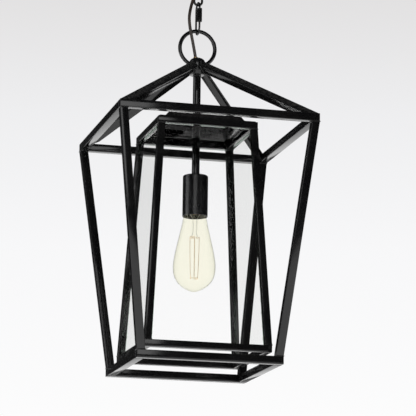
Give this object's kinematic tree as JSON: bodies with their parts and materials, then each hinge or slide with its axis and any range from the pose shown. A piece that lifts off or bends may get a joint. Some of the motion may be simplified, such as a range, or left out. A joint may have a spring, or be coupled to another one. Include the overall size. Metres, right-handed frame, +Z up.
{
  "type": "hanging lantern",
  "caption": "Open tapered square lantern with a roof of four bars, a glazed inner cage round one bulb, hung from a ring, quick link, chain and ceiling canopy.",
  "frame": {"origin": "centre of the ceiling stud's top face, in the ceiling plane", "axes": "+Z up to the ceiling, -Y the front, +X to the right seen from the front"},
  "size_m": [0.3014, 0.3014, 0.6726],
  "materials": {
    "black_paint": "semi-gloss black paint",
    "satin_black": "satin black paint",
    "clear_glass": "clear float glass",
    "amber_glass": "light amber clear glass",
    "brass": "plain brass",
    "ceramic": "glazed porcelain",
    "zinc": "zinc plated steel",
    "green_screw": "green plated",
    "cord_cover": "flat two-core lamp cord, dark brown",
    "filament_wire": "copper-coloured wire"
  },
  "bodies": {
    "ceiling_mount": {"mounting_strap": "zinc", "ceiling_stud": "zinc", "stud_nut": "zinc", "ground_screw": "green_screw", "hanging_loop": "black_paint", "lamp_cord": "cord_cover"},
    "canopy_cover": {"canopy": "black_paint"},
    "collar": {"screw_collar": "black_paint"},
    "upper_link": {"upper_chain_link": "black_paint"},
    "lower_link": {"lower_chain_link": "black_paint"},
    "connector": {"quick_link": "black_paint"},
    "connector_sleeve": {"quick_link_sleeve": "black_paint"},
    "ring": {"hanging_ring": "black_paint"},
    "lantern": {"hub": "black_paint", "stem": "black_paint", "outer_top_rail_front": "black_paint", "outer_top_rail_back": "black_paint", "outer_top_rail_left": "black_paint", "outer_top_rail_right": "black_paint", "outer_bottom_rail_front": "black_paint", "outer_bottom_rail_back": "black_paint", "outer_bottom_rail_left": "black_paint", "outer_bottom_rail_right": "black_paint", "outer_post_front_left": "black_paint", "outer_post_front_right": "black_paint", "outer_post_back_left": "black_paint", "outer_post_back_right": "black_paint", "rafter_front_left": "black_paint", "rafter_front_right": "black_paint", "rafter_back_left": "black_paint", "rafter_back_right": "black_paint", "cage_top_rail_front": "black_paint", "cage_top_rail_back": "black_paint", "cage_top_rail_left": "black_paint", "cage_top_rail_right": "black_paint", "cage_bottom_rail_front": "black_paint", "cage_bottom_rail_back": "black_paint", "cage_bottom_rail_left": "black_paint", "cage_bottom_rail_right": "black_paint", "cage_post_front_left": "black_paint", "cage_post_front_right": "black_paint", "cage_post_back_left": "black_paint", "cage_post_back_right": "black_paint", "glass_front": "clear_glass", "glass_back": "clear_glass", "glass_left": "clear_glass", "glass_right": "clear_glass", "cage_cap": "black_paint", "cap_washer": "black_paint", "cap_nut_upper": "black_paint", "cap_nut_lower": "black_paint", "socket_cup": "satin_black", "lampholder_body": "ceramic", "lampholder_shell": "brass", "lampholder_contact": "brass"},
    "bulb": {"bulb_glass": "amber_glass", "bulb_base": "brass", "bulb_inner_stem": "clear_glass", "bulb_filament": "filament_wire"}
  },
  "joints": [
    {"name": "canopy_drop", "type": "slide", "parent": "ceiling_mount", "child": "canopy_cover", "axis": [0, 0, 1], "range_m": [-0.02, 0]},
    {"name": "collar_turn", "type": "hinge", "parent": "canopy_cover", "child": "collar", "pos_m": [0, 0, -0.026], "axis": [0, 0, 1], "range_deg": [0, 720]},
    {"name": "upper_link_swing", "type": "hinge", "parent": "ceiling_mount", "child": "upper_link", "pos_m": [0, 0, -0.0522], "axis": [1, 0, 0], "range_deg": [-30, 30], "deforming": ["lamp_cord"]},
    {"name": "lower_link_swing", "type": "hinge", "parent": "upper_link", "child": "lower_link", "pos_m": [0, 0, -0.0793], "axis": [0, 1, 0], "range_deg": [-30, 30]},
    {"name": "quick_link_swing", "type": "hinge", "parent": "lower_link", "child": "connector", "pos_m": [0, 0, -0.1066], "axis": [1, 0, 0], "range_deg": [-30, 30]},
    {"name": "sleeve_open", "type": "slide", "parent": "connector", "child": "connector_sleeve", "axis": [0, 0, 1], "range_m": [-0.008, 0]},
    {"name": "ring_swing", "type": "hinge", "parent": "connector", "child": "ring", "pos_m": [0, 0, -0.1528], "axis": [0, 1, 0], "range_deg": [-30, 30]},
    {"name": "lantern_swing", "type": "hinge", "parent": "ring", "child": "lantern", "pos_m": [0, 0, -0.2031], "axis": [1, 0, 0], "range_deg": [-30, 30]},
    {"name": "bulb_withdraw", "type": "slide", "parent": "lantern", "child": "bulb", "axis": [0, 0, 1], "range_m": [-0.03, 0]}
  ]
}
